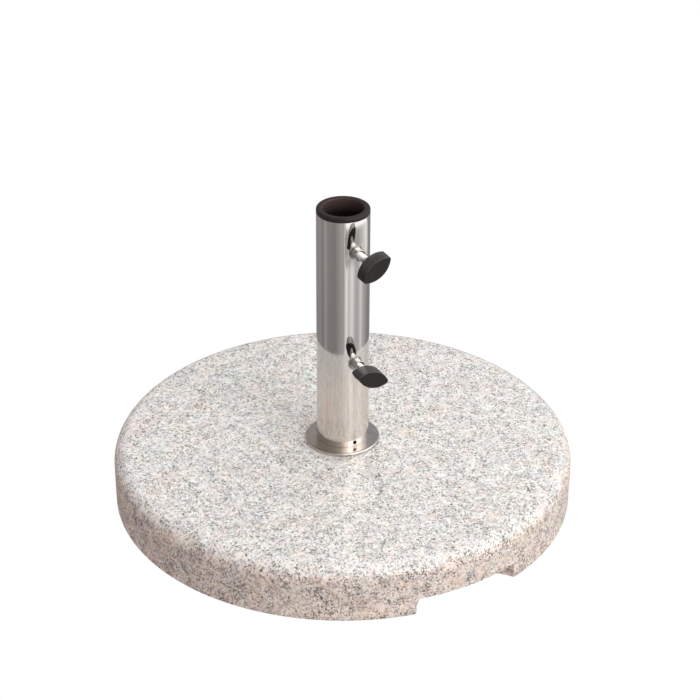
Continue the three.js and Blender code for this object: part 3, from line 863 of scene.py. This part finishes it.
def build_clamp(which, turn_deg):
    body_pad, body_screw = which + "_pad", which + "_screw"
    lo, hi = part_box("clamp_boss_" + which)
    zc = (lo.z + hi.z) / 2
    boss_in, boss_out = -hi.y, -lo.y
    rb = 6.0 * MM
    place = Matrix.Translation((0, 0, zc))

    # boss with its weld to the tube: a ring of sections, each following the tube's curve
    w, n = 1.3 * MM, 96
    rings = []
    for i in range(n):
        a = TAU * i / n
        ca, sa = math.cos(a), math.sin(a)

        def depth(r):
            return math.sqrt(R_TUBE ** 2 - (r * ca) ** 2)
        wob = 1 + 0.10 * math.sin(3 * a + 0.7) + 0.05 * math.sin(7 * a + 2.1) + 0.03 * math.sin(16 * a)
        ww = w * wob
        bore = 4.02 * MM
        sec = [(bore, boss_in), (rb, boss_in), (rb + 0.15 * MM, depth(rb) - 0.6 * MM), (rb + ww * 0.98, depth(rb + ww) - 0.08 * MM)]
        for k in range(0, 7):
            t = math.pi / 2 * k / 6
            rr = rb + ww * (1 - math.sin(t)) * 0.98
            sec.append((rr, depth(rr) + ww * (1 - math.cos(t)) * 0.85 + 0.02 * MM))
        sec += [(rb, boss_out - 0.9 * MM)]
        sec += [(rb - 0.6 * MM + 0.6 * MM * math.cos(t), boss_out - 0.6 * MM + 0.6 * MM * math.sin(t)) for t in [math.pi / 2 * k / 5 for k in range(6)]]
        sec += [(bore + 1.15 * MM, boss_out), (bore + 0.2 * MM, boss_out - 1.3 * MM), (bore, boss_out - 1.6 * MM)]
        rings.append([(r * ca, r * sa, z) for r, z in sec])
    boss = sweep("boss_" + which, rings, closed=True, round_trip=True, sharp=40)
    outward(boss)
    boss.data.transform(place)
    dress(boss, "clamp_boss_" + which, "boss", "base")

    # screw with its thread and its pin
    lo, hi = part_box("clamp_screw_" + which)
    tip, end = -hi.y, -lo.y
    shoulder = tip + 2.3 * MM
    reach = shoulder + 28 * MM
    screw = threaded("screw_" + which, shoulder + 0.5 * MM, reach - 0.2 * MM, 3.9 * MM, 1.25 * MM, 0.70 * MM,
                     head=[(1.4 * MM, tip), (1.7 * MM, tip + 0.3 * MM), (1.7 * MM, shoulder), (3.1 * MM, shoulder), (3.25 * MM, shoulder + 0.15 * MM)],
                     tail=[(3.9 * MM, reach - 0.1 * MM), (3.9 * MM, end - 0.3 * MM), (3.6 * MM, end)], fade0=0.6, fade1=0.5)
    outward(screw)
    screw.data.transform(place)
    dress(screw, "clamp_screw_" + which, "screw", body_screw)

    # nylon pad on the pin
    lo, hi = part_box("clamp_pad_" + which)
    front, rear = -hi.y, -lo.y
    rp, rs = 3.2 * MM, 2.0 * MM
    prof = [(0, front), (rp, front), (rp, rear), (rs, rear), (rs, rear - 2.6 * MM), (0, rear - 2.6 * MM)]
    prof = rounded(prof, {1: 0.8 * MM, 2: 0.3 * MM, 3: 0.25 * MM}, 5)
    pad = revolve("pad_" + which, prof, 64)
    outward(pad)
    pad.data.transform(place)
    dress(pad, "clamp_pad_" + which, "nylon", body_pad)

    # knob: a lens-shaped block with rounded edges, slightly drafted, and a socket for the screw
    lo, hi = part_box("clamp_knob_" + which)
    base, face = -hi.y, -lo.y
    a, b, t = 16.9 * MM, 8.7 * MM, 2 * MM
    e0, e1 = 0.5 * MM, 0.6 * MM
    draft = 0.18 * MM

    def outline(inset, z):
        return [(x, y, z) for x, y in lens(a - inset, b - inset, max(t - inset, 0.25 * MM))]

    levels = []
    for k in range(4):
        s = math.pi / 2 * k / 3
        levels.append((draft * 0 + e0 * (1 - math.sin(s)), base + e0 * (1 - math.cos(s))))
    mid = (base + face) / 2
    levels.append((0.0, mid))
    for k in range(6):
        s = math.pi / 2 * k / 5
        levels.append((draft + e1 * (1 - math.cos(s)), face - e1 + e1 * math.sin(s)))
    outlines = [outline(i, z) for i, z in levels]
    m = len(outlines[0])
    verts = [p for o in outlines for p in o]
    faces = []
    for i in range(len(outlines) - 1):
        for k in range(m):
            l = (k + 1) % m
            faces.append((i * m + k, i * m + l, (i + 1) * m + l, (i + 1) * m + k))
    # outer face: a very shallow dish, so that it reads as moulded
    last = (len(outlines) - 1) * m
    dish = [(0.55, 0.10), (0.25, 0.16)]
    prev = last
    for s, d in [(0.93, 0.0)] + dish:
        k0 = len(verts)
        for k in range(m):
            x, y, z = outlines[-1][k]
            verts.append((x * s, y * s, face - d * MM))
        for k in range(m):
            l = (k + 1) % m
            faces.append((prev + k, prev + l, k0 + l, k0 + k))
        prev = k0
    c0 = len(verts)
    verts.append((0, 0, face - 0.18 * MM))
    for k in range(m):
        faces.append((prev + k, prev + (k + 1) % m, c0))
    # back face: flat, with the screw's socket
    hole = []
    for k in range(m):
        x, y, z = outlines[0][k]
        ang = math.atan2(y, x)
        hole.append(ang)
    prev = 0
    for rr, z in ((5.6 * MM, base), (5.6 * MM, base), (4.05 * MM, base), (4.0 * MM, base + 0.3 * MM), (4.0 * MM, end + 0.2 * MM)):
        k0 = len(verts)
        for k in range(m):
            verts.append((rr * math.cos(hole[k]), rr * math.sin(hole[k]), z))
        for k in range(m):
            l = (k + 1) % m
            faces.append((prev + l, prev + k, k0 + k, k0 + l))
        prev = k0
    c0 = len(verts)
    verts.append((0, 0, end + 0.2 * MM))
    for k in range(m):
        faces.append((prev + (k + 1) % m, prev + k, c0))
    knob = make("knob_" + which, verts, faces, sharp=40)
    knob.data.transform(Matrix.Rotation(math.radians(turn_deg), 4, "Z"))
    outward(knob)
    knob.data.transform(place)
    dress(knob, "clamp_knob_" + which, "plastic", body_screw)


build_slab()
build_tube()
build_flange()
build_ring()
build_plug()
build_bolt()
build_washers()
build_feet()
build_clamp("lower", -20.6)
build_clamp("upper", 37.0)

# ----------------------------------------------------------- floor and lights

scene.view_settings.view_transform = "Standard"
scene.view_settings.look = "None"


def stage_material(name, strength, color=(1, 1, 1), one_sided=True):
    m = bpy.data.materials.new(name)
    m.use_nodes = True
    t = m.node_tree
    t.nodes.clear()
    out = t.nodes.new("ShaderNodeOutputMaterial")
    em = t.nodes.new("ShaderNodeEmission")
    em.inputs[0].default_value = (*color, 1)
    em.inputs[1].default_value = strength
    if one_sided:
        tr = t.nodes.new("ShaderNodeBsdfTransparent")
        mx = t.nodes.new("ShaderNodeMixShader")
        geo = t.nodes.new("ShaderNodeNewGeometry")
        t.links.new(geo.outputs["Backfacing"], mx.inputs[0])
        t.links.new(em.outputs[0], mx.inputs[1])
        t.links.new(tr.outputs[0], mx.inputs[2])
        t.links.new(mx.outputs[0], out.inputs[0])
    else:
        t.links.new(em.outputs[0], out.inputs[0])
    return m


def build_stage():
    me = bpy.data.meshes.new("floor")
    s = 8.0
    me.from_pydata([(-s, -s, 0), (s, -s, 0), (s, s, 0), (-s, s, 0)], [], [(0, 1, 2, 3)])
    floor = bpy.data.objects.new("floor", me)
    scene.collection.objects.link(floor)
    me.materials.append(stage_material("floor_white", 1.0))
    floor.visible_diffuse = False
    floor.visible_glossy = False
    floor.visible_shadow = False
    floor.visible_transmission = False


def build_cards():
    """Cards lying round the stand, seen only in polished surfaces: a pale panel on the right and a white strip past its far edge."""
    def sector(name, r0, r1, a0, a1, n=48):
        verts, faces = [], []
        for i in range(n + 1):
            a = CAM_AZ + math.radians(a0 + (a1 - a0) * i / n)
            for r in (r0, r1):
                verts.append((r * MM * math.sin(a), -r * MM * math.cos(a), 0.0005))
        for i in range(n):
            faces.append((2 * i, 2 * i + 1, 2 * i + 3, 2 * i + 2))
        me = bpy.data.meshes.new(name)
        me.from_pydata(verts, [], faces)
        ob = bpy.data.objects.new(name, me)
        scene.collection.objects.link(ob)
        ob.visible_camera = False
        ob.visible_diffuse = False
        ob.visible_shadow = False
        ob.visible_transmission = False
        return ob

    strip = sector("card_strip", 635, 760, 13.0, 117)
    strip.data.materials.append(stage_material("card_strip", 1.7, one_sided=False))
    panel = sector("card_panel", 515, 635, 10.5, 128)
    m = bpy.data.materials.new("card_panel")
    m.use_nodes = True
    t = m.node_tree
    t.nodes.clear()

    def node(kind, **props):
        x = t.nodes.new("ShaderNode" + kind)
        for k, v in props.items():
            setattr(x, k, v)
        return x

    co = node("TexCoord").outputs["Object"]
    sep = node("SeparateXYZ")
    t.links.new(co, sep.inputs[0])
    x, y, _ = sep.outputs

    def mt(op, a, b=None):
        q = node("Math", operation=op)
        for s, v in zip(q.inputs, (a, b)):
            if isinstance(v, bpy.types.NodeSocket):
                t.links.new(v, s)
            elif v is not None:
                s.default_value = v
        return q.outputs[0]

    az = mt("SUBTRACT", mt("ARCTAN2", x, mt("MULTIPLY", y, -1.0)), CAM_AZ)
    ramp = node("ValToRGB")
    t.links.new(mt("DIVIDE", az, math.radians(130)), ramp.inputs[0])
    stops = [(0, 0.42), (14, 0.40), (19, 0.55), (64, 0.50), (84, 0.74), (105, 1.15), (118, 1.05), (127, 0.55)]
    cr = ramp.color_ramp
    while len(cr.elements) < len(stops):
        cr.elements.new(0.5)
    for e, (d, v) in zip(cr.elements, stops):
        e.position = d / 130
        e.color = (v / 1.2, v / 1.2 * 0.985, v / 1.2 * 0.97, 1)
    em = node("Emission")
    t.links.new(ramp.outputs[0], em.inputs[0])
    em.inputs[1].default_value = 1.2
    radius = mt("SQRT", mt("ADD", mt("MULTIPLY", x, x), mt("MULTIPLY", y, y)))
    fade = node("MapRange", interpolation_type="SMOOTHSTEP", clamp=True)
    t.links.new(radius, fade.inputs["Value"])
    fade.inputs["From Min"].default_value = 0.516
    fade.inputs["From Max"].default_value = 0.560
    tr = node("BsdfTransparent")
    mx = node("MixShader")
    t.links.new(fade.outputs["Result"], mx.inputs[0])
    t.links.new(tr.outputs[0], mx.inputs[1])
    t.links.new(em.outputs[0], mx.inputs[2])
    out = node("OutputMaterial")
    t.links.new(mx.outputs[0], out.inputs[0])
    panel.data.materials.append(m)


def build_world():
    w = bpy.data.worlds.new("studio")
    scene.world = w
    w.use_nodes = True
    t = w.node_tree
    t.nodes.clear()

    def node(kind, **props):
        x = t.nodes.new("ShaderNode" + kind)
        for k, v in props.items():
            setattr(x, k, v)
        return x

    def m(op, a, b=None, clamp=False):
        x = node("Math", operation=op, use_clamp=clamp)
        for s, v in zip(x.inputs, (a, b)):
            if isinstance(v, bpy.types.NodeSocket):
                t.links.new(v, s)
            elif v is not None:
                s.default_value = v
        return x.outputs[0]

    def rng_map(v, a, b, c, d):
        x = node("MapRange", interpolation_type="SMOOTHSTEP", clamp=True)
        t.links.new(v, x.inputs["Value"])
        for k, val in (("From Min", a), ("From Max", b), ("To Min", c), ("To Max", d)):
            x.inputs[k].default_value = val
        return x.outputs["Result"]

    co = node("TexCoord").outputs["Generated"]
    sep = node("SeparateXYZ")
    t.links.new(co, sep.inputs[0])
    x, y, z = sep.outputs
    az = m("ARCTAN2", x, m("MULTIPLY", y, -1.0))
    # azimuth past the camera's side, as a share of a turn
    turn = m("FRACT", m("ADD", m("DIVIDE", m("SUBTRACT", az, CAM_AZ), TAU), 0.5))
    # below the horizon: dim surroundings with a few pale strips on the right
    low_stops = [(-180, 0.36), (-142, 0.32), (-113, 0.38), (-97, 0.28), (-81, 0.45), (-68, 0.335), (-35, 0.295), (-6, 0.50), (4, 0.52),
                 (14, 1.16), (26, 0.76), (39, 1.10), (55, 0.60), (69, 0.58), (82, 0.96), (97, 0.58), (131, 0.30)]
    # above it: a dark rear, soft boxes on the right and a narrow bright strip
    high_stops = [(-180, 0.42), (-120, 0.40), (-75, 0.42), (-35, 0.5), (-5, 0.85), (6, 1.7), (13, 2.5), (25, 2.4), (31, 4.2), (38, 5.0), (43, 3.6),
                  (51, 2.3), (62, 2.4), (77, 3.6), (95, 2.3), (115, 1.6), (132, 0.9), (152, 0.50)]

    def by_azimuth(stops, tint_left, tint_right):
        ramp = node("ValToRGB")
        cr = ramp.color_ramp
        while len(cr.elements) < len(stops):
            cr.elements.new(0.5)
        top = max(v for _, v in stops)
        for e, (d, v) in zip(cr.elements, stops):
            e.position = (d + 180) / 360
            tint = tint_left if d < 5 else tint_right
            e.color = (v / top * tint[0], v / top * tint[1], v / top * tint[2], 1)
        t.links.new(turn, ramp.inputs[0])
        return ramp.outputs[0], top

    def times(col, gain):
        mx = node("Mix", data_type="RGBA", blend_type="MULTIPLY")
        mx.inputs["Factor"].default_value = 1.0
        t.links.new(col, mx.inputs[6])
        comb = node("CombineColor")
        for s in comb.inputs[:3]:
            if isinstance(gain, bpy.types.NodeSocket):
                t.links.new(gain, s)
            else:
                s.default_value = gain
        t.links.new(comb.outputs[0], mx.inputs[7])
        return mx.outputs[2]

    low_col, low_top = by_azimuth(low_stops, (0.98, 0.915, 0.905), (1.0, 0.975, 0.965))
    high_col, high_top = by_azimuth(high_stops, (0.99, 0.96, 0.94), (1.0, 0.99, 0.98))
    low_col = times(low_col, m("MULTIPLY", rng_map(z, -0.50, -0.43, 1.0, 1.12), low_top))
    high_col = times(high_col, m("MULTIPLY", m("MULTIPLY", rng_map(z, 0.56, 0.74, 1.0, 0.42), rng_map(z, 0.86, 0.98, 1.0, 1.5)), high_top))
    glossy = node("Mix", data_type="RGBA")
    t.links.new(rng_map(z, 0.02, 0.16, 0.0, 1.0), glossy.inputs["Factor"])
    t.links.new(low_col, glossy.inputs[6])
    t.links.new(high_col, glossy.inputs[7])
    # soft dome for diffuse light
    side = m("SINE", m("SUBTRACT", az, CAM_AZ))
    dome_v = m("MULTIPLY", rng_map(z, -0.35, 0.9, 0.46, 0.90), m("ADD", m("MULTIPLY", side, 0.34), 0.98))
    dome = node("CombineColor")
    for s, lean in zip(dome.inputs[:3], (-0.034, 0.016, 0.016)):
        t.links.new(m("MULTIPLY", dome_v, m("ADD", m("MULTIPLY", side, lean), 1.0)), s)
    lp = node("LightPath")
    mix1 = node("Mix", data_type="RGBA")
    t.links.new(lp.outputs["Is Glossy Ray"], mix1.inputs["Factor"])
    t.links.new(dome.outputs[0], mix1.inputs[6])
    t.links.new(glossy.outputs[2], mix1.inputs[7])
    mix2 = node("Mix", data_type="RGBA")
    t.links.new(lp.outputs["Is Camera Ray"], mix2.inputs["Factor"])
    t.links.new(mix1.outputs[2], mix2.inputs[6])
    mix2.inputs[7].default_value = (1, 1, 1, 1)
    bg = node("Background")
    t.links.new(mix2.outputs[2], bg.inputs[0])
    out = node("OutputWorld")
    t.links.new(bg.outputs[0], out.inputs[0])


def area(name, az, el, dist, size, power, color=(1, 1, 1), glossy=False):
    d = bpy.data.lights.new(name, "AREA")
    d.shape = "DISK"
    d.size = size
    d.energy = power
    d.color = color
    o = bpy.data.objects.new(name, d)
    scene.collection.objects.link(o)
    a, e = math.radians(az), math.radians(el)
    v = Vector((math.sin(a) * math.cos(e), -math.cos(a) * math.cos(e), math.sin(e)))
    o.location = Vector((0, 0, 0.1)) + v * dist
    o.rotation_mode = "QUATERNION"
    o.rotation_quaternion = v.to_track_quat("Z", "Y")
    o.visible_glossy = glossy
    o.visible_camera = False
    return o


build_stage()
build_cards()
build_world()
area("key", -28 + 44, 34, 2.2, 1.4, 19, (0.965, 0.985, 0.98))
area("top", -28 + 150, 74, 2.2, 1.6, 8, (0.985, 0.99, 1.0))
